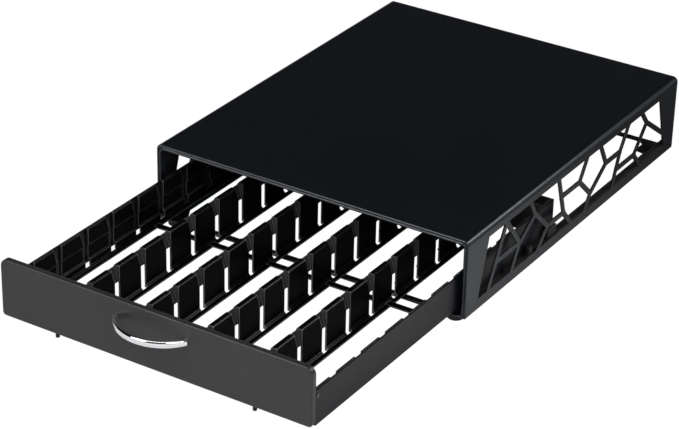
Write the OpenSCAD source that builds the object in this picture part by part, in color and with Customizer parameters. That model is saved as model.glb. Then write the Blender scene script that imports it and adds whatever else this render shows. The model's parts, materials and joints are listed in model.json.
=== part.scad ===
// Coffee pod drawer: a folded steel casing and a drawer with a slotted pod tray
// +X is right, +Y is the rear, +Z is up; the origin is under the middle of the whole, on the table

/* [Casing] */
// Width over the casing
case_w = 250; // [200:1:320]
// Depth from front edge to rear edge
case_d = 309.5; // [280:0.5:360]
// Height of the casing without its feet
case_h = 58.2; // [54:0.1:80]
// Thickness of the steel sheet
sheet_t = 1.2; // [0.8:0.1:1.6]
// Outside radius of the casing's upper bends
bend_r = 3.8; // [3:0.1:5.5]
// Inside radius of the bends at the casing's foot
foot_bend = 0.3; // [0.2:0.1:2]
// Thickness of the hemmed front edge
hem_t = 2; // [1.6:0.1:2.2]
// Share of the hem that the lining inside the front edge is thick
lining_share = 0.9; // [0.7:0.05:0.95]
// Depth of the front hem and of the strips across the floor
strip_d = 4.9; // [4:0.1:5]
// Width of the flanges turned in below the sides
flange_w = 12.5; // [10:0.5:16]
// How far the corner tabs reach in from the sides
tab_w = 20; // [17:0.5:30]
// Length of the corner tabs along the sides
tab_d = 22; // [17:0.5:34]

/* [Pierced sides] */
// Plain sheet between the field's foot and the casing's front and rear edges
field_end = 16; // [12:0.5:40]
// How far the field's ends lean in from foot to head
field_lean = 12; // [0:0.5:30]
// Plain sheet below the field
field_low = 8.4; // [6:0.1:12]
// Plain sheet above the field
field_top = 8; // [6:0.5:14]
// Width of the struts
strut_w = 3.7; // [3:0.1:6]

/* [Feet] */
// Diameter of the rubber feet
foot_d = 12.6; // [8:0.1:13]
// Height of the feet
foot_h = 4.6; // [2.5:0.1:8]
// Distance of each foot's centre from the casing side
foot_in = 11.4; // [8.8:0.1:12.5]
// Distance of each foot's centre from the front or rear edge
foot_end = 7.7; // [7.7:0.1:14]
// Shank diameter of the foot rivets
foot_rivet_d = 3; // [2.4:0.1:3.4]
// Head diameter of the foot rivets
foot_head_d = 5; // [4:0.1:5.2]
// Head height of the foot rivets
foot_head_t = 0.7; // [0.5:0.1:0.8]

/* [Drawer] */
// How far the drawer stands open here
drawer_open = 175.7; // [150:0.1:180]
// How much further it opens up to its stops
more_open = 22; // [10:0.5:30]
// Space between the closed drawer's rear and the casing's rear edge
rear_space = 4.5; // [3.5:0.5:12]
// Space between each drawer side and the casing's outside
side_space = 5.4; // [5.2:0.1:7]
// Space between the drawer front and the casing's top
front_space = 8.4; // [6:0.1:14]
// Height of the drawer sides
side_h = 24.7; // [20:0.1:32]
// Height of the steel drawer's lower edge above the casing floor
lift = 8; // [7.6:0.1:9]
// Depth of the folded edges of the front
fold_d = 4.2; // [3.4:0.1:6]
// Corner radius at the top of the front
front_top_r = 5.5; // [3:0.5:9]
// Corner radius at the foot of the front
front_low_r = 2.8; // [2.2:0.1:4]
// Rounding of the front's folded edges
fold_r = 1; // [0.6:0.1:1]
// Clearance between pieces that slide, and of loose seats
gap = 0.3; // [0.2:0.05:0.4]

/* [Tray] */
// Number of channels
channels = 5; // [3:1:6]
// Largest number of slots along each wall
most_slots = 10; // [4:1:16]
// Distance between slots
slot_pitch = 28.3; // [24:0.1:28.6]
// Width of the slots
slot_w = 5; // [3:0.1:8]
// Width of the mouth at the top of each slot
mouth_w = 8.6; // [5:0.1:14]
// Depth of the mouth
mouth_h = 11; // [6:0.5:12]
// Depth to which each mouth is open through the lip
mouth_through = 1.3; // [0.4:0.1:3]
// Far edge of the first slot behind the drawer face
first_slot = 30.6; // [24:0.1:34]
// Height of the wall tops above the steel sides
wall_rise = 0.2; // [0.2:0.1:2]
// Thickness of the lip along each wall's top
lip_t = 4.5; // [2.4:0.1:5.5]
// Depth of the lip
lip_h = 12.5; // [12:0.5:14]
// Thickness of the walls, end walls and ledges
web_t = 1; // [0.8:0.1:1.4]
// Space between the tray's feet and the casing's hem
foot_space = 1.5; // [0.4:0.1:1.9]
// Width of the foot ledges beside each channel
ledge_w = 4.8; // [3:0.1:8]
// How far the slots nick the ledge on the right of each wall
nick = 1.5; // [1:0.1:2.4]
// Length of the notch behind each slot in the ledge on the left
notch_l = 13.5; // [6:0.1:16]
// Height of the fillets at the foot of the walls
foot_fillet = 1.2; // [0.8:0.1:1.4]
// Chamfer along the tops of the walls
top_chamfer = 0.5; // [0.3:0.1:0.8]
// Thickness of the side walls at the top
side_lip_t = 1.7; // [1.4:0.1:2.4]
// Thickness of the tray's end walls
end_t = 1.5; // [1.2:0.1:2.4]
// Width of the cross rib
rib_w = 5.2; // [4:0.1:6]
// Number of slots in front of the cross rib
rib_slots = 5; // [2:1:8]
// Space between the cross rib and the slot behind it
rib_space = 4.2; // [0.6:0.1:10]

/* [Runners] */
// Height of the runner's stops over its rail
stop_h = 5.5; // [4:0.5:8]
// Length of each stop
stop_l = 5; // [3:0.5:8]
// Width of the rail under the drawer side
rail_w = 4.8; // [4:0.1:5]
// Length of the gliding blocks
glide_l = 12; // [8:0.5:20]
// Height of the gliding blocks
glide_h = 7; // [4:0.5:10]
// Diameter of the runner's pegs
peg_d = 2; // [1.6:0.1:2.4]
// Number of pegs under each runner
pegs = 4; // [2:1:6]

/* [Handle and fixings] */
// Distance between the ends of the bow
bow_w = 53.5; // [40:0.5:80]
// Reach of the bow in front of the drawer
bow_reach = 17; // [12:0.5:26]
// Thickness of the bow
bow_t = 3; // [2.4:0.1:3.6]
// Height of the bow's section
bow_h = 4.2; // [3.2:0.1:6]
// Height of the bow's middle above the casing floor
bow_z = 37.2; // [26:0.1:39]
// Diameter of the posts at the bow's ends
post_d = 4.8; // [4.4:0.1:7]
// Length of those posts
post_l = 4; // [3:0.1:5]
// Thread diameter of the screws
screw_d = 2.6; // [2:0.1:3]
// Head diameter of the screws
screw_head_d = 5.2; // [4.4:0.1:7]
// Head height of the screws
screw_head_t = 1.5; // [1:0.1:1.8]
// Diameter of the side rivets
rivet_d = 2.4; // [2:0.1:3]
// Head diameter of the side rivets
rivet_head_d = 3; // [2.8:0.1:4.6]
// Head height of the side rivets
rivet_head_t = 0.4; // [0.2:0.05:0.5]
// Distance between the pads below the front
pad_apart = 153; // [100:1:180]
// Diameter of the pads
pad_d = 2.8; // [2:0.1:2.8]
// Height of the pads below the front
pad_h = 3.4; // [1:0.1:3.8]

/* [Hidden] */
$fn = 48;
// Overrun of cuts
over = 0.5;

// Drawer: its width and its length behind its face
drawer_w = case_w - 2 * side_space;
drawer_l = case_d - rear_space;

// Places along Y: the casing's front edge, and the drawer face from there
case_y = (drawer_open + bow_reach - case_d) / 2;
drawer_y = case_y - drawer_open;

// Casing
in_half = case_w / 2 - sheet_t;
low_r = sheet_t + foot_bend;
lining_t = hem_t * lining_share;
frame_t = hem_t + lining_t;
frame_r = bend_r - lining_t;
field_l = case_d - 2 * field_end;
field_h = case_h - field_low - field_top;
foot_x = case_w / 2 - foot_in;
foot_ys = [foot_end, case_d - foot_end];

// Drawer, in its own places: y = 0 at its face, z = 0 at the casing floor
side_in = drawer_w / 2 - sheet_t;
side_top = lift + side_h;
front_h = case_h - front_space - lift;
tab_l = glide_l - end_t - gap;
rest_z = hem_t + foot_space;
ledge_z = rest_z + web_t;
seat_z = lift + sheet_t;

// Tray
tray_y = fold_d;
tray_end = drawer_l - sheet_t - tab_l - gap;
wall_y = tray_y + end_t;
wall_l = tray_end - end_t - wall_y;
wall_top = side_top + wall_rise;
slots = min(most_slots, 1 + floor((wall_y + wall_l - slot_w - first_slot) / slot_pitch));
rib_y = first_slot + rib_slots * slot_pitch - slot_w - rib_space - rib_w / 2;
side_face = side_in - side_lip_t;
side_fold = sheet_t + side_lip_t - gap;
foot_cut = lift - sheet_t - side_lip_t - rest_z + gap;
rib_half = side_face - foot_cut;
wall_pitch = (drawer_w - sheet_t) / channels;
tenon_h = wall_top - lip_h - seat_z - gap;
slot_back = web_t + gap;
funnel_d = slot_back + (lip_t - slot_back) * mouth_h / (mouth_h - mouth_through);

// Runners
rail_out = in_half - gap;
rail_in = rail_out - rail_w;
rail_z = lift - gap;
rail_slant = foot_bend + gap;
peg_x = rail_in + (peg_d + gap) / 2;
rail_y = strip_d + gap;
front_stop_y = drawer_l - drawer_open - more_open - glide_l - sheet_t - gap - stop_l;
rear_stop_y = drawer_l - sheet_t + gap;
rail_end = rear_stop_y + stop_l - 2 * gap;
stop_in = drawer_w / 2 + 2 * gap;
glide_y = drawer_l - sheet_t - glide_l;
glide_z = lift + gap;
glide_out = in_half - 1.5 * gap;

// Fixings
bow_mid_reach = bow_reach - bow_t / 2;
bow_r = (bow_w * bow_w / 4 + bow_mid_reach * bow_mid_reach) / (2 * bow_mid_reach);
thread_l = post_l - gap;
front_rivet_y = tray_y + rivet_head_d / 2 + sheet_t / 4;
front_rivet_z = side_top - rivet_head_d - sheet_t;
rear_rivet_y = drawer_l - sheet_t - tab_l / 2;
rear_rivet_z = glide_z + glide_h + rivet_head_d;
pad_y = (sheet_t + fold_d) / 2;

// Struts of the pierced field, each [y, z, y, z] as shares of the field's foot and height
strut_shares = [
    [0.050, 0.00, 0.130, 1.00], [0.130, 1.00, 0.200, 0.42], [0.084, 0.42, 0.200, 0.42],
    [0.200, 0.42, 0.165, 0.00], [0.200, 0.42, 0.275, 0.72], [0.275, 0.72, 0.250, 1.00],
    [0.275, 0.72, 0.345, 0.30], [0.345, 0.30, 0.300, 0.00], [0.345, 0.30, 0.430, 0.30],
    [0.430, 0.30, 0.470, 0.00], [0.430, 0.30, 0.395, 1.00], [0.413, 0.64, 0.510, 0.64],
    [0.510, 0.64, 0.545, 1.00], [0.510, 0.64, 0.575, 0.25], [0.575, 0.25, 0.550, 0.00],
    [0.575, 0.25, 0.655, 0.60], [0.655, 0.60, 0.620, 1.00], [0.655, 0.60, 0.735, 0.60],
    [0.735, 0.60, 0.775, 1.00], [0.735, 0.60, 0.700, 0.00], [0.718, 0.30, 0.820, 0.30],
    [0.820, 0.30, 0.860, 0.00], [0.820, 0.30, 0.885, 0.76], [0.885, 0.76, 0.855, 1.00],
    [0.885, 0.76, 0.990, 0.28]
];

casing_color = "#1b1d21";
steel_color = "#3f4042";
tray_color = "#141517";
rubber_color = "#0c0c0d";
chrome_color = "#d0d2d8";
zinc_color = "#8c8e92";

// Places of the two bodies
module in_case() {
    translate([0, case_y, foot_h]) children();
}

module in_drawer() {
    translate([0, drawer_y, foot_h]) children();
}

// Stands an XY outline up in the XZ plane and runs it back from y0 to y1
module run_back(y0, y1) {
    translate([0, y1, 0]) rotate([90, 0, 0]) linear_extrude(y1 - y0) children();
}

// A box given by its two corners
module block(low, high) {
    translate(low) cube(high - low);
}

// Rounded rectangle, centred in x and standing on y = 0
module soft_rect(w, h, top_r, low_r) {
    translate([-w / 2, low_r]) square([w, h - top_r - low_r]);
    translate([top_r - w / 2, low_r]) square([w - 2 * top_r, h - low_r]);
    translate([low_r - w / 2, 0]) square([w - 2 * low_r, h - top_r]);
    for (s = [-1, 1]) {
        translate([s * (w / 2 - top_r), h - top_r]) circle(r = top_r);
        translate([s * (w / 2 - low_r), low_r]) circle(r = low_r);
    }
}

// The same outline drawn in by t on every side
module soft_inset(w, h, top_r, low_r, t) {
    translate([0, t]) soft_rect(w - 2 * t, h - 2 * t, top_r - t, low_r - t);
}

// A rod of radius r along the inside of a rounded rectangle, as the nose of a folded edge at y = r
module nose_ring(w, h, top_r, low_r, r) {
    translate([0, r, 0]) rotate([90, 0, 0]) {
        translate([low_r - w / 2, r, 0]) rotate([0, 90, 0]) cylinder(r = r, h = w - 2 * low_r);
        translate([top_r - w / 2, h - r, 0]) rotate([0, 90, 0]) cylinder(r = r, h = w - 2 * top_r);
        for (s = [-1, 1]) {
            translate([s * (w / 2 - r), low_r, 0]) rotate([-90, 0, 0])
                cylinder(r = r, h = h - top_r - low_r);
            translate([s * (w / 2 - low_r), low_r, 0]) rotate([0, 0, s > 0 ? -90 : 180])
                rotate_extrude(angle = 90) translate([low_r - r, 0]) circle(r = r);
            translate([s * (w / 2 - top_r), h - top_r, 0]) rotate([0, 0, s > 0 ? 0 : 90])
                rotate_extrude(angle = 90) translate([top_r - r, 0]) circle(r = r);
        }
    }
}

// A rod of radius r up both sides and over the top of a rounded rectangle, at y = depth
module nose_arch(w, h, top_r, r, depth) {
    translate([0, depth, 0]) rotate([90, 0, 0]) {
        translate([top_r - w / 2, h - r, 0]) rotate([0, 90, 0]) cylinder(r = r, h = w - 2 * top_r);
        for (s = [-1, 1]) {
            translate([s * (w / 2 - r), r, 0]) rotate([-90, 0, 0]) cylinder(r = r, h = h - top_r - r);
            translate([s * (w / 2 - top_r), h - top_r, 0]) rotate([0, 0, s > 0 ? 0 : 90])
                rotate_extrude(angle = 90) translate([top_r - r, 0]) circle(r = r);
        }
    }
}

// Casing
module strut(a, b) {
    run = norm(b - a);
    translate(a) rotate(atan2(b[1] - a[1], b[0] - a[0]))
        translate([-strut_w / 2, -strut_w / 2]) square([run + strut_w, strut_w]);
}

// Openings of one side, drawn in depth and height
module field_openings() {
    translate([field_end, field_low]) difference() {
        polygon([[0, 0], [field_l, 0], [field_l - field_lean, field_h], [field_lean, field_h]]);
        for (s = strut_shares)
            strut([s[0] * field_l, s[1] * field_h], [s[2] * field_l, s[3] * field_h]);
    }
}

// Open floor between the flanges, strips and corner tabs
module floor_opening() {
    wide = case_w / 2 - flange_w;
    narrow = case_w / 2 - tab_w;
    slant = tab_w - flange_w;
    half = [[wide, tab_d], [wide, case_d - tab_d], [narrow, case_d - tab_d + slant / 4],
        [narrow, case_d - strip_d - slant / 2], [narrow - slant / 2, case_d - strip_d]];
    front = [[narrow - slant / 2, strip_d], [narrow, strip_d + slant / 2], [wide, tab_d]];
    right = concat(front, half);
    count = len(right);
    polygon(concat(right, [for (i = [1:count]) [-right[count - i][0], right[count - i][1]]]));
}

module at_feet() {
    for (s = [-1, 1], y = foot_ys) translate([s * foot_x, y, 0]) children();
}

module at_pegs() {
    step = (rail_end - rail_y - 2 * tab_d) / (pegs - 1);
    for (i = [0:pegs - 1]) translate([peg_x, rail_y + tab_d + i * step, 0]) children();
}

// The folded sheet, its hemmed front edge, and the lining inside that edge
module casing_shell() {
    nose = hem_t / 2;
    nose_low_r = max(low_r, nose + lining_t);
    color(casing_color) in_case() difference() {
        union() {
            run_back(nose, case_d) difference() {
                soft_rect(case_w, case_h, bend_r, low_r);
                soft_inset(case_w, case_h, bend_r, low_r, sheet_t);
            }
            run_back(nose, strip_d) difference() {
                soft_rect(case_w, case_h, bend_r, low_r);
                translate([0, hem_t])
                    soft_rect(case_w - 2 * frame_t, case_h - hem_t - frame_t, frame_r, frame_r);
            }
            nose_ring(case_w, case_h, bend_r, nose_low_r, nose);
            nose_arch(case_w - 2 * hem_t, case_h - hem_t, bend_r, lining_t / 2, nose);
        }
        translate([0, 0, -over]) linear_extrude(sheet_t + 2 * over) floor_opening();
        translate([-case_w / 2 - over, 0, 0]) rotate([90, 0, 90])
            linear_extrude(case_w + 2 * over) field_openings();
        translate([0, 0, -over]) {
            at_feet() cylinder(d = foot_rivet_d + gap, h = sheet_t + 2 * over);
            for (s = [0, 1]) mirror([s, 0, 0])
                at_pegs() cylinder(d = peg_d + gap, h = sheet_t + 2 * over);
        }
    }
}

module foot(side, y) {
    edge = foot_h / 5;
    color(rubber_color) in_case() translate([side * foot_x, y, -foot_h]) difference() {
        union() {
            translate([0, 0, edge]) cylinder(d = foot_d, h = foot_h - edge);
            cylinder(d1 = foot_d - 2 * edge, d2 = foot_d, h = edge);
        }
        translate([0, 0, foot_h / 3]) cylinder(d = foot_rivet_d + gap, h = foot_h);
    }
}

module foot_front_left() {
    foot(-1, foot_ys[0]);
}

module foot_front_right() {
    foot(1, foot_ys[0]);
}

module foot_rear_left() {
    foot(-1, foot_ys[1]);
}

module foot_rear_right() {
    foot(1, foot_ys[1]);
}

module foot_rivets() {
    shank = foot_h * 2 / 3;
    color(zinc_color) in_case() at_feet() {
        translate([0, 0, -shank]) cylinder(d = foot_rivet_d, h = shank + sheet_t + foot_head_t / 2);
        translate([0, 0, sheet_t]) cylinder(d = foot_head_d, h = foot_head_t);
    }
}

// Runner on the right flange, slanted to clear the bend, with a stop at each end of the travel
module runner() {
    in_case() {
        run_back(rail_y, rail_end)
            polygon([[rail_in, sheet_t], [rail_out - rail_slant, sheet_t],
                [rail_out, sheet_t + rail_slant], [rail_out, rail_z], [rail_in, rail_z]]);
        for (y = [front_stop_y, rear_stop_y])
            block([stop_in, y, rail_z - over], [rail_out, min(y + stop_l, rail_end), rail_z + stop_h]);
        at_pegs() cylinder(d = peg_d, h = sheet_t + over);
    }
}

module runner_left() {
    color(rubber_color) mirror([1, 0, 0]) runner();
}

module runner_right() {
    color(rubber_color) runner();
}

// Drawer
module at_screws() {
    for (s = [-1, 1]) translate([s * bow_w / 2, 0, bow_z]) rotate([-90, 0, 0]) children();
}

module at_pads() {
    for (s = [-1, 1]) translate([s * pad_apart / 2, pad_y, lift]) children();
}

module drawer_front() {
    w = drawer_w;
    h = front_h;
    color(steel_color) in_drawer() difference() {
        translate([0, 0, lift]) difference() {
            union() {
                run_back(0, fold_d) soft_inset(w, h, front_top_r, front_low_r, fold_r);
                run_back(fold_r, fold_d) soft_rect(w, h, front_top_r, front_low_r);
                nose_ring(w, h, front_top_r, front_low_r, fold_r);
            }
            run_back(sheet_t, fold_d + over) soft_inset(w, h, front_top_r, front_low_r, sheet_t);
        }
        at_screws() translate([0, 0, -over]) cylinder(d = screw_d + gap, h = sheet_t + 2 * over);
        at_pads() translate([0, 0, -over]) cylinder(d = pad_d / 2 + gap, h = sheet_t + 2 * over);
    }
}

// Rivets of the right side: one near the front, one through the back's tab
module at_rivet(y, z) {
    translate([side_in, y, z]) rotate([0, 90, 0]) children();
}

module at_side_rivets() {
    at_rivet(front_rivet_y, front_rivet_z) children();
    at_rivet(rear_rivet_y, rear_rivet_z) children();
}

// Right side, turned in at its foot to carry the tray
module drawer_side() {
    in_drawer() difference() {
        union() {
            block([side_in, fold_d, lift], [drawer_w / 2, drawer_l, side_top]);
            block([drawer_w / 2 - side_fold, fold_d, lift], [drawer_w / 2, tray_end, seat_z]);
        }
        at_side_rivets() translate([0, 0, -over]) cylinder(d = rivet_d + gap, h = sheet_t + 2 * over);
    }
}

module drawer_side_left() {
    color(steel_color) mirror([1, 0, 0]) drawer_side();
}

module drawer_side_right() {
    color(steel_color) drawer_side();
}

module drawer_back() {
    color(steel_color) in_drawer() difference() {
        block([-side_in, drawer_l - sheet_t - tab_l, lift], [side_in, drawer_l, side_top]);
        block([sheet_t - side_in, 0, 0], [side_in - sheet_t, drawer_l - sheet_t, case_h]);
        for (s = [0, 1]) mirror([s, 0, 0]) at_side_rivets()
            translate([0, 0, -sheet_t - over]) cylinder(d = rivet_d + gap, h = sheet_t + 2 * over);
    }
}

module side_rivets() {
    color(zinc_color) in_drawer() for (s = [0, 1]) mirror([s, 0, 0]) {
        at_side_rivets() {
            cylinder(d = rivet_d, h = sheet_t + rivet_head_t / 2);
            translate([0, 0, sheet_t]) cylinder(d = rivet_head_d, h = rivet_head_t);
        }
        at_rivet(rear_rivet_y, rear_rivet_z)
            translate([0, 0, -sheet_t]) cylinder(d = rivet_d, h = 2 * sheet_t);
    }
}

module glide() {
    in_drawer() block([drawer_w / 2, glide_y, glide_z], [glide_out, glide_y + glide_l, glide_z + glide_h]);
}

module glide_left() {
    color(rubber_color) mirror([1, 0, 0]) glide();
}

module glide_right() {
    color(rubber_color) glide();
}

// Tray: x of each divider's right face; the lips stand evenly between the steel sides
function wall_x(i) = (sheet_t - drawer_w + lip_t) / 2 + i * wall_pitch;

// Slot with its one-sided mouth, drawn in depth and height, far edge at y = 0
module slot_outline() {
    deep = rest_z - over;
    polygon([[0, deep], [0, wall_top + over], [-mouth_w, wall_top + over], [-mouth_w, wall_top],
        [-slot_w, wall_top - mouth_h], [-slot_w, deep]]);
}

module slot_cuts(x0, x1) {
    for (i = [0:slots - 1])
        translate([x0, first_slot + i * slot_pitch, 0]) rotate([90, 0, 90])
            linear_extrude(x1 - x0) slot_outline();
}

// Funnels in the lip behind the mouths, deepest at the top, that lead into the slots
module mouth_funnels() {
    grow = (mouth_h + over) / mouth_h;
    d = slot_back + (funnel_d - slot_back) * grow;
    w = slot_w + (mouth_w - slot_w) * grow;
    points = [[-slot_back, -slot_w, -mouth_h], [0, -slot_w, -mouth_h], [0, 0, -mouth_h],
        [-slot_back, 0, -mouth_h], [-d, -w, over], [0, -w, over], [0, 0, over], [-d, 0, over]];
    faces = [[0, 1, 2, 3], [4, 5, 1, 0], [7, 6, 5, 4], [5, 6, 2, 1], [6, 7, 3, 2], [7, 4, 0, 3]];
    for (i = [0:slots - 1])
        translate([0, first_slot + i * slot_pitch, wall_top]) polyhedron(points, faces);
}

// Notches of the left ledge, so that only a tab is left before each slot
module ledge_notches(x0, x1) {
    for (i = [0:slots - 1]) translate([0, first_slot + i * slot_pitch, 0])
        block([x0, -slot_w, rest_z - over], [x1, notch_l, ledge_z + foot_fillet + over]);
}

// Notch over the cross rib
module rib_notch(x0, x1) {
    block([x0, rib_y - rib_w / 2 - gap, rest_z - over], [x1, rib_y + rib_w / 2 + gap, ledge_z]);
}

// Steps at both ends of a wall's foot, below the tray's end walls
module foot_steps(x0, x1) {
    back = lift - rest_z;
    for (y = [wall_y, wall_y + wall_l])
        block([x0, y - back, rest_z - over], [x1, y + back, seat_z]);
}

module tenons(x0, x1) {
    block([x0, tray_y, seat_z], [x1, tray_end, seat_z + tenon_h]);
}

// Divider profile in x and z: right face at x = 0, lip and wide ledge to the left
module divider_profile() {
    c = top_chamfer;
    f = foot_fillet;
    under = wall_top - lip_h;
    left = -lip_t - ledge_w;
    polygon([[ledge_w, rest_z], [ledge_w, ledge_z], [f, ledge_z], [0, ledge_z + f],
        [0, wall_top - c], [-c, wall_top], [c - lip_t, wall_top], [-lip_t, wall_top - c],
        [-lip_t, under + lip_t - web_t], [-web_t, under], [-web_t, ledge_z + f],
        [-web_t - f, ledge_z], [left, ledge_z], [left, rest_z]]);
}

module row_wall(i) {
    x = wall_x(i);
    left = x - lip_t - ledge_w - over;
    right = x + ledge_w + over;
    color(tray_color) in_drawer() {
        difference() {
            union() {
                translate([x, 0, 0]) run_back(wall_y, wall_y + wall_l) divider_profile();
                tenons(x - web_t, x);
            }
            slot_cuts(x - slot_back, x + nick);
            translate([x, 0, 0]) mouth_funnels();
            ledge_notches(left, x - web_t);
            rib_notch(left, right);
            foot_steps(left, right);
        }
    }
}

module row_wall_1() {
    row_wall(1);
}

module row_wall_2() {
    row_wall(2);
}

module row_wall_3() {
    row_wall(3);
}

module row_wall_4() {
    row_wall(4);
}

// Side wall profile, drawn for the left: lip's face at x = 0, steel side at x = -side_lip_t.
// It sits on the side's flange, and its foot goes down inside the flange.
module side_profile() {
    c = top_chamfer;
    f = foot_fillet;
    out = -side_lip_t;
    under = wall_top - lip_h;
    polygon([[out, wall_top], [-c, wall_top], [0, wall_top - c], [0, under - out - web_t],
        [out + web_t, under], [out + web_t, seat_z + web_t], [web_t, seat_z + web_t],
        [web_t, ledge_z + f], [web_t + f, ledge_z], [ledge_w, ledge_z], [ledge_w, rest_z],
        [foot_cut, rest_z], [0, rest_z + foot_cut], [0, seat_z], [out, seat_z]]);
}

module side_wall() {
    in_drawer() {
        difference() {
            union() {
                translate([-side_face, 0, 0]) run_back(wall_y, wall_y + wall_l) side_profile();
                tenons(-side_in, web_t - side_in);
            }
            slot_cuts(-side_in - over, web_t - side_face);
            rib_notch(-rib_half - gap, ledge_w + over - side_face);
            foot_steps(-side_in - over, ledge_w + over - side_face);
        }
    }
}

module row_wall_left() {
    color(tray_color) side_wall();
}

module row_wall_right() {
    color(tray_color) mirror([1, 0, 0]) side_wall();
}

// End wall of the tray with a window for each tenon
module tray_end_wall(y) {
    half = side_in;
    color(tray_color) in_drawer() difference() {
        block([-half, y, seat_z], [half, y + end_t, wall_top - top_chamfer]);
        for (i = [1:channels - 1])
            block([wall_x(i) - web_t - gap, 0, seat_z - over],
                [wall_x(i) + gap, drawer_l, seat_z + tenon_h + gap]);
        for (s = [0, 1]) mirror([s, 0, 0])
            block([-half - over, 0, seat_z - over], [web_t + gap - half, drawer_l, seat_z + tenon_h + gap]);
    }
}

module tray_front() {
    tray_end_wall(tray_y);
}

module tray_rear() {
    tray_end_wall(tray_end - end_t);
}

module mid_rib() {
    color(tray_color) in_drawer()
        block([-rib_half, rib_y - rib_w / 2, rest_z], [rib_half, rib_y + rib_w / 2, ledge_z]);
}

// Handle, its screws and the pads
module handle_bow() {
    round_r = bow_t / 2;
    reach_y = bow_r - bow_mid_reach;
    color(chrome_color) in_drawer() difference() {
        union() {
            intersection() {
                translate([0, reach_y, bow_z]) rotate_extrude() {
                    translate([bow_r - round_r, round_r - bow_h / 2]) square([bow_t, bow_h - bow_t]);
                    for (s = [-1, 1]) translate([bow_r, s * (bow_h / 2 - round_r)]) circle(r = round_r);
                }
                block([-bow_r - bow_t, -bow_reach - over, 0], [bow_r + bow_t, 0, case_h]);
            }
            at_screws() translate([0, 0, -post_l]) cylinder(d = post_d, h = post_l);
        }
        at_screws() translate([0, 0, -thread_l]) cylinder(d = screw_d, h = thread_l + over);
    }
}

module handle_screws() {
    color(zinc_color) in_drawer() at_screws() {
        translate([0, 0, -thread_l]) cylinder(d = screw_d, h = thread_l + sheet_t + screw_head_t / 2);
        translate([0, 0, sheet_t]) cylinder(d = screw_head_d, h = screw_head_t);
    }
}

module front_pads() {
    color(rubber_color) in_drawer() at_pads() {
        translate([0, 0, -pad_h]) cylinder(d = pad_d, h = pad_h);
        translate([0, 0, -pad_h / 2]) cylinder(d = pad_d / 2, h = pad_h / 2 + 2 * sheet_t);
        translate([0, 0, sheet_t]) cylinder(d = pad_d, h = sheet_t);
    }
}

casing_shell();
foot_front_left();
foot_front_right();
foot_rear_left();
foot_rear_right();
foot_rivets();
runner_left();
runner_right();
drawer_front();
drawer_side_left();
drawer_side_right();
drawer_back();
tray_front();
tray_rear();
row_wall_left();
row_wall_1();
row_wall_2();
row_wall_3();
row_wall_4();
row_wall_right();
mid_rib();
glide_left();
glide_right();
handle_bow();
handle_screws();
front_pads();
side_rivets();
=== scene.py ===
"""Looks, light and camera of the coffee pod drawer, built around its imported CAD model."""

import json
import math

import bpy
from mathutils import Matrix, Vector


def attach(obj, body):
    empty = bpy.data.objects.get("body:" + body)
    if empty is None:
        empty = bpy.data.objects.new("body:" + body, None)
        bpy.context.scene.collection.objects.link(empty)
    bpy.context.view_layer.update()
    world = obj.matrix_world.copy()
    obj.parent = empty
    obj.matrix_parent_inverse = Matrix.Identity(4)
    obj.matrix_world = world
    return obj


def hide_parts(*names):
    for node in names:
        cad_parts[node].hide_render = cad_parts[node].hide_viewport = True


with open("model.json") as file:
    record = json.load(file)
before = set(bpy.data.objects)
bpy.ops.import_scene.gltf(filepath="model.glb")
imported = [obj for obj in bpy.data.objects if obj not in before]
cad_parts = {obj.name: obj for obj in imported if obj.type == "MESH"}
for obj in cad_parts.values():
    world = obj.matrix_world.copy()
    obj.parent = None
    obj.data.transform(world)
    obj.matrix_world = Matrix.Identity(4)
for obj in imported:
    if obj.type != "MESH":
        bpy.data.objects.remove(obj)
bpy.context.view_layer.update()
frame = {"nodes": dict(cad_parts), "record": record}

# Lengths are in metres, angles in radians unless a line says otherwise.

# Camera, fitted to the photograph; lens and sensor in millimetres
CAMERA_AT = Vector((0.787817, -1.276209, 0.820795))
CAMERA_FORWARD = Vector((-0.467753, 0.747766, -0.471225))
CAMERA_ROLL = math.radians(-1.3243)
CAMERA_LENS = 129.683
CAMERA_SENSOR = 36.0
CAMERA_CLIP = (0.05, 40.0)

# Handle: the bow's arc and strap, and the ends of its two screws
BODY_OF_DRAWER = "drawer"
FRONT_FACE = -0.2341
BOW_CENTRE = -0.0006
BOW_WIDTH = 0.0556
BOW_REACH = 0.0170
BOW_HEIGHT = 0.0416
BOW_STRAP = (0.0030, 0.0046)
BOW_SQUARENESS = 0.8
BOW_STEPS = 72
BOW_SIDES = 28
BOW_OVERRUN = 1.02
BOW_SINK = 0.0001
SHANK_INSET = 0.0012
SHANK_LEAD = 0.0006
SHANK_SIDES = 24
SHANK_PROFILE = (  # radius and depth of each ring
    (0.0012, 0.0), (0.0019, 0.0002), (0.0021, 0.0009), (0.0021, 0.0031), (0.0012, 0.0034),
)

# Surface grain: scale and strength of the noise, depth of the bump, radius of rounded edges
POWDER_GRAIN = {"Scale": 2200.0, "Strength": 0.10, "Depth": 0.00006, "Edge": 0.0008}
MOULDED_GRAIN = {"Scale": 1500.0, "Strength": 0.04, "Depth": 0.00003, "Edge": 0.0013}
RUBBER_GRAIN = {"Scale": 2600.0, "Strength": 0.3, "Depth": 0.0001, "Edge": 0.0005}
TURNED_GRAIN = {"Scale": 400.0, "Strength": 0.03, "Depth": 0.00002, "Edge": 0.0003}
GRAIN_DETAIL = 3.0
GRAIN_SAMPLES = 6
MOTTLE_DETAIL = 4.0
MOTTLE_SPREAD = (0.35, 0.65)
TONE_SCALE = 25.0
GLOSS_SCALE = 75.0

# The casing's coat, which the drawer's sides share: tones, roughness and tint of its gloss
COAT_TONES = ((0.0016, 0.0024, 0.0044), (0.0024, 0.0034, 0.0058))
COAT_ROUGHNESS = (0.325, 0.345)
COAT_TINT = (0.90, 0.95, 1.0)

# Edges: cosines of the turn at which an edge begins to count and counts in full
EDGE_TURN = (0.985, 0.80)
EDGE_SAMPLES = 8

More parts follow.
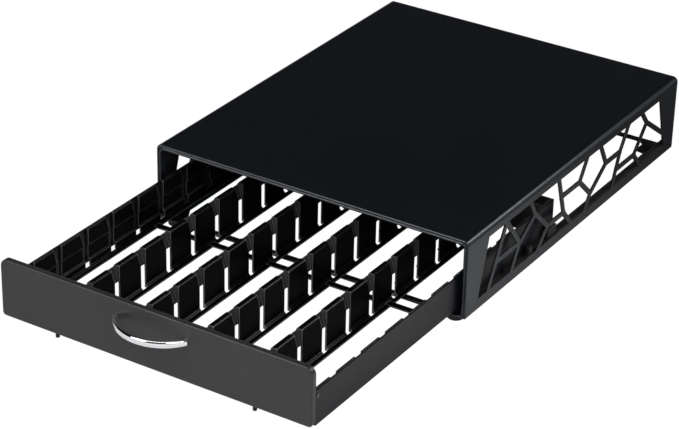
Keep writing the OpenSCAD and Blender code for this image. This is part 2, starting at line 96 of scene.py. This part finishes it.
# Edges of the tray: widths of the band painted paler as a painted highlight, and of the glossy
# band
HIGHLIGHT_BAND_RADIUS = 0.00045
GLOSSY_RADIUS = 0.0013
GLOSSY_ROUGHNESS = 0.24
HIGHLIGHT_BAND_TONE = (0.30, 0.305, 0.315)

# Slot mouths in the tray's walls, whose faces get painted light as a paler tone: how far a face
# turns along x or y to belong to them
FUNNEL_FLAT = (0.975, 0.99)
FUNNEL_LEAN = (0.85, 0.92)
SLOT_SIDE = (0.5, 0.7)
FUNNEL_PAINTED_LIGHT_TONE = (0.046, 0.047, 0.050)
FUNNEL_ROUGHNESS = 0.5

# Studio: the floor's glow for the camera and for mirrored rays, its painted shade as a fall in
# tone toward the back, the dim room, and the sine of the height at which the white backdrop ends
WHITE = (1.0, 1.0, 1.0)
FLOOR_SIZE = 12.0
FLOOR_DROP = 0.0002
FLOOR_ROUGHNESS = 0.9
FLOOR_GLOW = 1.05
FLOOR_SHARE_CAMERA = 0.95
FLOOR_SHARE_GLOSS = 0.03
FLOOR_TOWARD_BACK = (0.30, 0.95, 0.0)
FLOOR_PAINTED_SHADE_FALL = (0.02, 0.29)
FLOOR_PAINTED_SHADE_TONES = (0.88, 0.05)
ROOM_TONE = (0.95, 0.97, 1.0)
ROOM_LIGHT = 0.05
CEILING_GLOSS = 0.004
BACKDROP_RISE = (0.06, 0.16)

# Softboxes: name, place, aim, size and watts
OBJECT_MIDDLE = (0.0, 0.0, 0.03)
SOFTBOXES = (
    ("key_front_left", (-0.9, -1.6, 1.5), OBJECT_MIDDLE, (1.0, 0.8), 26.0),
    ("floor_front_right", (0.60, -0.62, 0.66), (0.30, -0.20, 0.0), (0.5, 0.5), 3.9),
    ("overhead", (-0.4, -0.1, 1.7), OBJECT_MIDDLE, (0.9, 0.9), 6.0),
    ("rim_back_right", (0.54, 0.52, 0.52), (0.10, -0.08, 0.05), (0.22, 0.22), 2.2),
)


def put_in_scene(name, data):
    thing = bpy.data.objects.new(name, data)
    bpy.context.collection.objects.link(thing)
    return thing


def make_camera():
    data = bpy.data.cameras.new("camera")
    data.sensor_fit = "HORIZONTAL"
    data.sensor_width = CAMERA_SENSOR
    data.lens = CAMERA_LENS
    data.clip_start, data.clip_end = CAMERA_CLIP
    camera = put_in_scene("camera", data)
    forward = CAMERA_FORWARD.normalized()
    right = forward.cross(Vector((0.0, 0.0, 1.0))).normalized()
    right = Matrix.Rotation(CAMERA_ROLL, 3, forward) @ right
    up = right.cross(forward)
    turn = Matrix((right, up, -forward)).transposed().to_4x4()
    camera.matrix_world = Matrix.Translation(CAMERA_AT) @ turn
    bpy.context.scene.camera = camera


# Node helpers. Where one takes a value, it takes a socket or a fixed value.

MIX_SOCKETS = {"RGBA": (6, 7, 2), "FLOAT": (2, 3, 0)}  # both ends and the result


def feed(tree, socket, given):
    """Link a socket to the one given, or set it to the value given."""
    if isinstance(given, bpy.types.NodeSocket):
        tree.links.new(given, socket)
    else:
        socket.default_value = given


def add_math(tree, operation, *terms):
    node = tree.nodes.new("ShaderNodeMath")
    node.operation = operation
    for socket, term in zip(node.inputs, terms):
        feed(tree, socket, term)
    return node.outputs["Value"]


def add_dot(tree, first, second):
    node = tree.nodes.new("ShaderNodeVectorMath")
    node.operation = "DOT_PRODUCT"
    feed(tree, node.inputs[0], first)
    feed(tree, node.inputs[1], second)
    return node.outputs["Value"]


def add_range(tree, value, ends, results=(0.0, 1.0)):
    """A value, held between two ends and mapped to two results."""
    node = tree.nodes.new("ShaderNodeMapRange")
    names = ("Value", "From Min", "From Max", "To Min", "To Max")
    for name, given in zip(names, (value, *ends, *results)):
        feed(tree, node.inputs[name], given)
    return node.outputs["Result"]


def add_mix(tree, kind, share, first, second):
    """A colour or value between two ends, by a share of the second."""
    node = tree.nodes.new("ShaderNodeMix")
    node.data_type = kind
    at_first, at_second, at_result = MIX_SOCKETS[kind]
    tree.links.new(share, node.inputs[0])
    feed(tree, node.inputs[at_first], first)
    feed(tree, node.inputs[at_second], second)
    return node.outputs[at_result]


def add_shader_mix(tree, share, first, second):
    node = tree.nodes.new("ShaderNodeMixShader")
    for socket, given in zip(node.inputs, (share, first, second)):
        tree.links.new(given, socket)
    return node.outputs["Shader"]


def add_noise(tree, scale, detail):
    """Noise fixed to the object."""
    place = tree.nodes.new("ShaderNodeTexCoord")
    noise = tree.nodes.new("ShaderNodeTexNoise")
    noise.inputs["Detail"].default_value = detail
    tree.links.new(place.outputs["Object"], noise.inputs["Vector"])
    tree.links.new(scale, noise.inputs["Scale"])
    return noise.outputs["Fac"]


def add_rounding(tree, radius, samples):
    """The normal of a surface whose edges are rounded to a radius."""
    bevel = tree.nodes.new("ShaderNodeBevel")
    bevel.samples = samples
    tree.links.new(radius, bevel.inputs["Radius"])
    return bevel.outputs["Normal"]


def new_group(name, inputs, output, kind):
    """A node group with inputs for plain values and one output."""
    group = bpy.data.node_groups.new(name, "ShaderNodeTree")
    for label in inputs:
        group.interface.new_socket(label, in_out="INPUT", socket_type="NodeSocketFloat")
    group.interface.new_socket(output, in_out="OUTPUT", socket_type=kind)
    given = group.nodes.new("NodeGroupInput")
    result = group.nodes.new("NodeGroupOutput")
    return group, given.outputs, result.inputs[output]


def grain_group():
    """Fine bump over rounded edges: a surface's grain, with its edges softened first."""
    group, given, result = new_group(
        "grain", ("Scale", "Strength", "Depth", "Edge"), "Normal", "NodeSocketVector")
    bump = group.nodes.new("ShaderNodeBump")
    feed(group, bump.inputs["Height"], add_noise(group, given["Scale"], GRAIN_DETAIL))
    feed(group, bump.inputs["Strength"], given["Strength"])
    feed(group, bump.inputs["Distance"], given["Depth"])
    feed(group, bump.inputs["Normal"], add_rounding(group, given["Edge"], GRAIN_SAMPLES))
    feed(group, result, bump.outputs["Normal"])
    return group


def mottle_group():
    """A value that wanders between two ends, for slow changes of tone and gloss."""
    group, given, result = new_group(
        "mottle", ("Scale", "Low", "High"), "Value", "NodeSocketFloat")
    noise = add_noise(group, given["Scale"], MOTTLE_DETAIL)
    feed(group, result, add_range(group, noise, MOTTLE_SPREAD, (given["Low"], given["High"])))
    return group


def edge_group():
    """A mask that is 1 along edges, within a radius of them, and 0 on flat faces."""
    group, given, result = new_group("edge", ("Radius",), "Mask", "NodeSocketFloat")
    flat = group.nodes.new("ShaderNodeNewGeometry")
    rounded = add_rounding(group, given["Radius"], EDGE_SAMPLES)
    turn = add_dot(group, rounded, flat.outputs["Normal"])
    feed(group, result, add_range(group, turn, EDGE_TURN))
    return group


GRAIN = grain_group()
EDGE = edge_group()
MOTTLE = mottle_group()


def add_group(tree, group, **values):
    node = tree.nodes.new("ShaderNodeGroup")
    node.node_tree = group
    for name, value in values.items():
        node.inputs[name].default_value = value
    return node.outputs[0]


# Materials

def new_material(name):
    material = bpy.data.materials.new(name)
    material.use_nodes = True
    tree = material.node_tree
    tree.nodes.clear()
    output = tree.nodes.new("ShaderNodeOutputMaterial")
    shader = tree.nodes.new("ShaderNodeBsdfPrincipled")
    tree.links.new(shader.outputs["BSDF"], output.inputs["Surface"])
    return material, shader


def surface(name, tones, roughness, grain, metallic=0.0, specular=0.5, tint=WHITE):
    """A surface whose colour and gloss wander a little and whose grain is a bump."""
    material, shader = new_material(name)
    tree = material.node_tree
    dark, light = tones
    low, high = roughness
    tone = add_group(tree, MOTTLE, Scale=TONE_SCALE, Low=0.0, High=1.0)
    gloss = add_group(tree, MOTTLE, Scale=GLOSS_SCALE, Low=low, High=high)
    given = {
        "Base Color": add_mix(tree, "RGBA", tone, (*dark, 1.0), (*light, 1.0)),
        "Roughness": gloss,
        "Normal": add_group(tree, GRAIN, **grain),
        "Metallic": metallic,
        "Specular IOR Level": specular,
        "Specular Tint": (*tint, 1.0),
    }
    for socket, value in given.items():
        feed(tree, shader.inputs[socket], value)
    return material


def blend_toward(tree, kind, socket, mask, goal):
    """Blend what already feeds a socket toward a fixed goal, by a mask."""
    given = socket.links[0].from_socket
    feed(tree, socket, add_mix(tree, kind, mask, given, goal))


def funnel_painted_light(material):
    """The slots' sides and sloping mouths: matt, and painted paler as painted light, picked by the
    way each face turns.
    """
    tree = material.node_tree
    shader = tree.nodes["Principled BSDF"]
    facing = tree.nodes.new("ShaderNodeNewGeometry")
    split = tree.nodes.new("ShaderNodeSeparateXYZ")
    tree.links.new(facing.outputs["True Normal"], split.inputs["Vector"])
    across = add_math(tree, "ABSOLUTE", split.outputs["X"])
    along = add_math(tree, "ABSOLUTE", split.outputs["Y"])
    not_flat = add_range(tree, across, FUNNEL_FLAT, (1.0, 0.0))
    leaning = add_range(tree, across, FUNNEL_LEAN)
    sloping = add_math(tree, "MULTIPLY", not_flat, leaning)
    mask = add_math(tree, "MAXIMUM", sloping, add_range(tree, along, SLOT_SIDE))
    # Painted light: faces picked by the way they turn get a paler tone
    blend_toward(tree, "RGBA", shader.inputs["Base Color"], mask, (*FUNNEL_PAINTED_LIGHT_TONE, 1.0))
    blend_toward(tree, "FLOAT", shader.inputs["Roughness"], mask, FUNNEL_ROUGHNESS)


def highlighted_glossy_edges(material):
    """Edges painted paler than the faces beside them as a painted highlight, within a wider glossy
    band.
    """
    tree = material.node_tree
    shader = tree.nodes["Principled BSDF"]
    painted_highlight = add_group(tree, EDGE, Radius=HIGHLIGHT_BAND_RADIUS)
    glossy = add_group(tree, EDGE, Radius=GLOSSY_RADIUS)
    # Painted highlight: the narrow edge band gets a pale tone
    blend_toward(tree, "RGBA", shader.inputs["Base Color"], painted_highlight, (*HIGHLIGHT_BAND_TONE, 1.0))
    feed(tree, shader.inputs["Coat Weight"], glossy)
    feed(tree, shader.inputs["Coat Roughness"], GLOSSY_ROUGHNESS)


def make_materials():
    """A material for each material slot of the CAD nodes, and one for the drawer's sides."""
    made = {
        "casing": surface("casing_coat", COAT_TONES, COAT_ROUGHNESS, POWDER_GRAIN,
                          specular=0.74, tint=COAT_TINT),
        "side": surface("drawer_side_coat", COAT_TONES, COAT_ROUGHNESS, POWDER_GRAIN,
                        specular=0.22),
        "steel": surface("drawer_coat",
                         ((0.0225, 0.0222, 0.0230), (0.0265, 0.0262, 0.0272)),
                         (0.36, 0.38), POWDER_GRAIN, specular=0.44),
        "tray": surface("tray_plastic",
                        ((0.0016, 0.0018, 0.0023), (0.0022, 0.0024, 0.0030)),
                        (0.27, 0.32), MOULDED_GRAIN, specular=0.02),
        "guide": surface("guide_nylon",
                         ((0.006, 0.006, 0.0065), (0.008, 0.008, 0.0085)),
                         (0.5, 0.6), MOULDED_GRAIN),
        "rubber": surface("foot_rubber",
                          ((0.006, 0.006, 0.006), (0.010, 0.010, 0.010)),
                          (0.75, 0.85), RUBBER_GRAIN),
        "chrome": surface("handle_chrome",
                          ((0.86, 0.87, 0.89), (0.90, 0.91, 0.93)),
                          (0.05, 0.08), TURNED_GRAIN, metallic=1.0),
        "zinc": surface("fixing_zinc",
                        ((0.10, 0.10, 0.105), (0.14, 0.14, 0.145)),
                        (0.38, 0.48), TURNED_GRAIN, metallic=1.0),
    }
    funnel_painted_light(made["tray"])
    highlighted_glossy_edges(made["tray"])
    return made


def dress_nodes(materials):
    slots = {part["node"]: part["material_slot"] for part in frame["record"]["subparts"]}
    for name, node in frame["nodes"].items():
        material = materials["side" if name.startswith("drawer_side") else slots[name]]
        if not node.material_slots:
            node.data.materials.append(material)
        for slot in node.material_slots:
            slot.material = material


# Handle

def circle(count):
    """Cosine and sine of each step round a circle."""
    turns = (2 * math.pi * step / count for step in range(count))
    return [(math.cos(turn), math.sin(turn)) for turn in turns]


def ring_sweep(name, rings):
    """A closed piece from rings of points, each ring joined to the next."""
    count, last = len(rings[0]), len(rings) - 1
    points = [tuple(point) for ring in rings for point in ring]
    faces = []
    for start in range(0, last * count, count):
        for j in range(count):
            k = (j + 1) % count
            faces.append((start + j, start + k, start + count + k, start + count + j))
    faces.append(tuple(reversed(range(count))))
    faces.append(tuple(range(last * count, len(points))))
    mesh = bpy.data.meshes.new(name)
    mesh.from_pydata(points, [], faces)
    mesh.polygons.foreach_set("use_smooth", [len(face) == 4 for face in faces])
    mesh.update()
    return put_in_scene(name, mesh)


def squared(value):
    """Push a cosine or sine outward, so that the round it draws grows squarer."""
    return math.copysign(abs(value) ** BOW_SQUARENESS, value)


def make_handle(chrome):
    """A bow with a rounded strap section, which runs down into the drawer front."""
    thick, tall = BOW_STRAP
    half, reach = BOW_WIDTH / 2, BOW_REACH - thick / 2
    radius = (half ** 2 + reach ** 2) / (2 * reach)
    arc_centre = Vector((BOW_CENTRE, FRONT_FACE + radius - reach, BOW_HEIGHT))
    sweep = math.asin(half / radius) * BOW_OVERRUN
    rings = []
    for i in range(BOW_STEPS + 1):
        turn = sweep * (2 * i / BOW_STEPS - 1)
        out = Vector((math.sin(turn), -math.cos(turn), 0.0))
        ring = []
        for across, along in circle(BOW_SIDES):
            rise = Vector((0.0, 0.0, squared(along) * tall / 2))
            point = arc_centre + out * (radius + squared(across) * thick / 2) + rise
            point.y = min(point.y, FRONT_FACE + BOW_SINK)
            ring.append(point)
        rings.append(ring)
    bow = ring_sweep("pull_bow", rings)
    bow.data.materials.append(chrome)
    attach(bow, BODY_OF_DRAWER)
    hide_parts("handle_bow")


def make_shanks(zinc):
    """The ends of the two screws, where the bow sits on the front."""
    shanks = []
    for side in (-1, 1):
        centre = BOW_CENTRE + side * (BOW_WIDTH / 2 - SHANK_INSET)
        rings = [[(centre + size * across, FRONT_FACE - SHANK_LEAD + depth, BOW_HEIGHT + size * up)
                  for across, up in circle(SHANK_SIDES)]
                 for size, depth in SHANK_PROFILE]
        shanks.append(ring_sweep("shank", rings))
    first = shanks[0]
    with bpy.context.temp_override(active_object=first, object=first,
                                   selected_editable_objects=shanks):
        bpy.ops.object.join()
    first.name = "pull_shanks"
    first.data.materials.append(zinc)
    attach(first, BODY_OF_DRAWER)
    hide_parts("handle_screws")


# Floor, world and lights

def ray_kinds(tree):
    """Two values: 1 for rays from the camera, and 1 for mirrored or transmitted rays."""
    path = tree.nodes.new("ShaderNodeLightPath")
    mirrored = add_math(tree, "MAXIMUM", path.outputs["Is Glossy Ray"],
                        path.outputs["Is Transmission Ray"])
    return path.outputs["Is Camera Ray"], mirrored


def make_floor():
    """White to the camera; in reflections a painted shade darkens it toward the back right."""
    material, shader = new_material("floor_white")
    tree = material.node_tree
    shader.inputs["Roughness"].default_value = FLOOR_ROUGHNESS
    place = tree.nodes.new("ShaderNodeTexCoord")
    toward_back = add_dot(tree, place.outputs["Object"], FLOOR_TOWARD_BACK)
    # Painted shade: the floor's tone falls toward the back
    feed(tree, shader.inputs["Base Color"],
         add_range(tree, toward_back, FLOOR_PAINTED_SHADE_FALL, FLOOR_PAINTED_SHADE_TONES))
    glow = tree.nodes.new("ShaderNodeEmission")
    glow.inputs["Color"].default_value = (*WHITE, 1.0)
    glow.inputs["Strength"].default_value = FLOOR_GLOW
    from_camera, mirrored = ray_kinds(tree)
    share = add_math(tree, "MULTIPLY_ADD", mirrored, FLOOR_SHARE_GLOSS,
                     add_math(tree, "MULTIPLY", from_camera, FLOOR_SHARE_CAMERA))
    mixed = add_shader_mix(tree, share, shader.outputs["BSDF"], glow.outputs["Emission"])
    output = tree.nodes["Material Output"]
    tree.links.new(mixed, output.inputs["Surface"])

    half = FLOOR_SIZE / 2
    corners = [(-half, -half, 0), (half, -half, 0), (half, half, 0), (-half, half, 0)]
    mesh = bpy.data.meshes.new("floor")
    mesh.from_pydata(corners, [], [(0, 1, 2, 3)])
    mesh.materials.append(material)
    floor = put_in_scene("floor", mesh)
    floor.location.z = -FLOOR_DROP


def add_background(tree, tone, strength):
    node = tree.nodes.new("ShaderNodeBackground")
    node.inputs["Color"].default_value = (*tone, 1.0)
    feed(tree, node.inputs["Strength"], strength)
    return node.outputs["Background"]


def make_world():
    """White behind the object, white low down in reflections, and dim above."""
    world = bpy.data.worlds.new("studio")
    bpy.context.scene.world = world
    world.use_nodes = True
    tree = world.node_tree
    tree.nodes.clear()
    output = tree.nodes.new("ShaderNodeOutputWorld")
    place = tree.nodes.new("ShaderNodeTexCoord")
    split = tree.nodes.new("ShaderNodeSeparateXYZ")
    tree.links.new(place.outputs["Generated"], split.inputs["Vector"])
    backdrop = add_range(tree, split.outputs["Z"], BACKDROP_RISE, (1.0, CEILING_GLOSS))
    from_camera, mirrored = ray_kinds(tree)
    unseen = add_shader_mix(tree, mirrored, add_background(tree, ROOM_TONE, ROOM_LIGHT),
                            add_background(tree, ROOM_TONE, backdrop))
    mixed = add_shader_mix(tree, from_camera, unseen, add_background(tree, WHITE, 1.0))
    tree.links.new(mixed, output.inputs["Surface"])


def make_lights():
    for name, place, aim, size, watts in SOFTBOXES:
        data = bpy.data.lights.new(name, "AREA")
        data.shape = "RECTANGLE"
        data.size, data.size_y = size
        data.energy = watts
        lamp = put_in_scene(name, data)
        lamp.location = place
        toward = Vector(aim) - Vector(place)
        lamp.rotation_euler = toward.to_track_quat("-Z", "Y").to_euler()


make_camera()
MATERIALS = make_materials()
dress_nodes(MATERIALS)
make_handle(MATERIALS["chrome"])
make_shanks(MATERIALS["zinc"])
make_floor()
make_world()
make_lights()
bpy.context.scene.view_settings.view_transform = "Standard"
